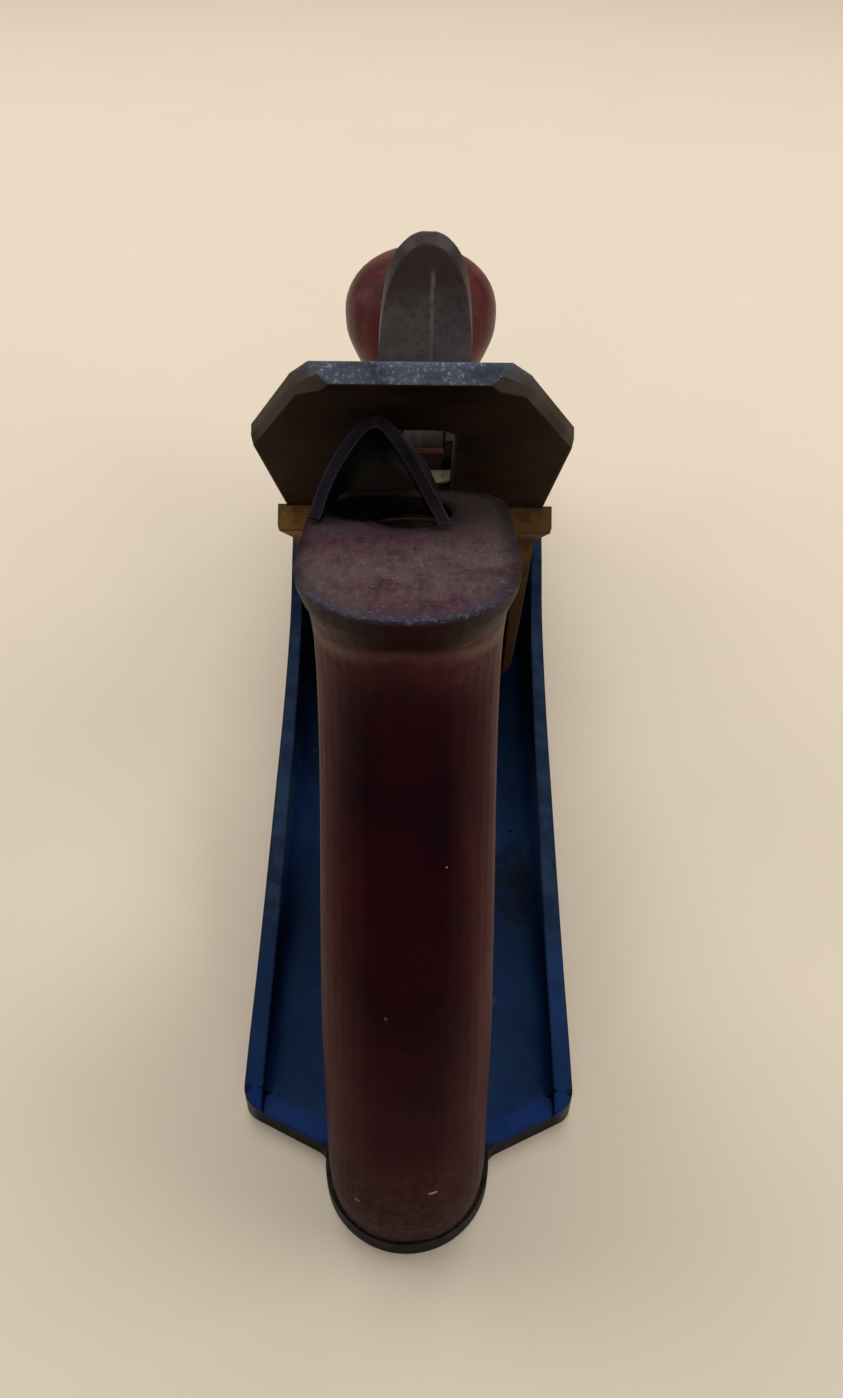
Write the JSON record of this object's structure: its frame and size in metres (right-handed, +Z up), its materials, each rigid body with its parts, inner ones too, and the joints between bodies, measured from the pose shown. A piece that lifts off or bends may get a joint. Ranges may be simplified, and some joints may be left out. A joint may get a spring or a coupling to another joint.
{
  "type": "smoothing plane",
  "caption": "Cast smoothing plane with wooden tote and knob, adjustable frog, double iron under a lever cap, depth wheel and lateral lever.",
  "frame": {"origin": "middle of the body in the plane of the sole, halfway between the toe and the end of the tongue", "axes": "+X to the right hand of the user, +Y forward to the toe, +Z up from the sole"},
  "size_m": [0.0556, 0.2412, 0.1271],
  "materials": {
    "paint": "satin, worn",
    "frog_paint": "satin, worn",
    "wood": "satin varnish, worn",
    "blade": "dark patina",
    "cap_steel": "satin",
    "lever_steel": "dull patina",
    "screw_steel": "dull",
    "spring": "satin",
    "cap_plate": "worn plating",
    "brass": "dull"
  },
  "bodies": {
    "chassis": {"body": "paint", "tote": "wood", "tote_rod": "screw_steel", "tote_nut": "brass", "knob": "wood", "knob_rod": "screw_steel", "knob_nut": "brass", "frog_screws": "screw_steel", "frog_washers": "screw_steel"},
    "frog_set": {"frog": "frog_paint", "adjusting_stud": "screw_steel", "yoke_pin": "screw_steel", "lateral_rivet": "screw_steel", "lever_cap_screw": "screw_steel", "frog_tab": "lever_steel", "frog_tab_screw": "screw_steel"},
    "frog_screw_set": {"frog_adjusting_screw": "screw_steel"},
    "hub_set": {"depth_hub": "brass"},
    "wheel_set": {"depth_wheel": "brass"},
    "yoke_set": {"yoke": "lever_steel"},
    "lateral_set": {"lateral_lever": "lever_steel", "lateral_disc": "lever_steel"},
    "cap_iron_set": {"cap_iron": "cap_steel", "cap_iron_screw": "screw_steel"},
    "iron_set": {"iron": "blade"},
    "lever_cap_set": {"lever_cap": "cap_plate", "cap_spring": "spring", "spring_rivet": "screw_steel", "cam_pin": "screw_steel"},
    "cam_set": {"cam_lever": "lever_steel"}
  },
  "joints": [
    {"name": "frog_slide", "type": "slide", "parent": "chassis", "child": "frog_set", "axis": [0, 1, 0], "range_m": [-0.0006, 0.0008]},
    {"name": "frog_screw_turn", "type": "hinge", "parent": "frog_set", "child": "frog_screw_set", "pos_m": [0, 0, 0.0072], "axis": [0, 1, 0], "range_deg": [-206, 274]},
    {"name": "depth_hub_slide", "type": "slide", "parent": "frog_set", "child": "hub_set", "axis": [0, 1, 0], "range_m": [-0.0007, 0.00275]},
    {"name": "depth_wheel_turn", "type": "hinge", "parent": "hub_set", "child": "wheel_set", "pos_m": [0, -0.0173, 0.03324], "axis": [0, 1, 0], "range_deg": [-846, 236]},
    {"name": "yoke_tilt", "type": "hinge", "parent": "frog_set", "child": "yoke_set", "pos_m": [0, -0.0123, 0.05024], "axis": [1, 0, 0], "range_deg": [-2.3, 9.25]},
    {"name": "iron_feed", "type": "slide", "parent": "frog_set", "child": "cap_iron_set", "axis": [0, 0.7071, -0.7071], "range_m": [-0.0018, 0.0005]},
    {"name": "iron_skew", "type": "hinge", "parent": "cap_iron_set", "child": "iron_set", "pos_m": [0, 0.05145, 0.00085], "axis": [0, -0.7071, -0.7071], "range_deg": [-0.3, 1.2]},
    {"name": "lateral_lever_swing", "type": "hinge", "parent": "frog_set", "child": "lateral_set", "pos_m": [0, -0.02329, 0.07177], "axis": [0, -0.7071, -0.7071], "range_deg": [-12, 3]},
    {"name": "lever_cap_slide", "type": "slide", "parent": "frog_set", "child": "lever_cap_set", "axis": [0.0192, -0.707, 0.707], "range_m": [0, 0.009]},
    {"name": "cam_lever_lift", "type": "hinge", "parent": "lever_cap_set", "child": "cam_set", "pos_m": [0.0013, -0.02494, 0.09131], "axis": [-0.9998, -0.0136, 0.0136], "range_deg": [0, 85]}
  ],
  "couplings": [
    {"joint": "frog_screw_turn", "follows": "frog_slide", "rad_per_m": 5938.2},
    {"joint": "depth_wheel_turn", "follows": "iron_feed", "rad_per_m": 8141.1},
    {"joint": "depth_hub_slide", "follows": "iron_feed", "ratio": -1.371},
    {"joint": "yoke_tilt", "follows": "iron_feed", "rad_per_m": -80.645},
    {"joint": "iron_skew", "follows": "lateral_lever_swing", "ratio": -0.08}
  ]
}
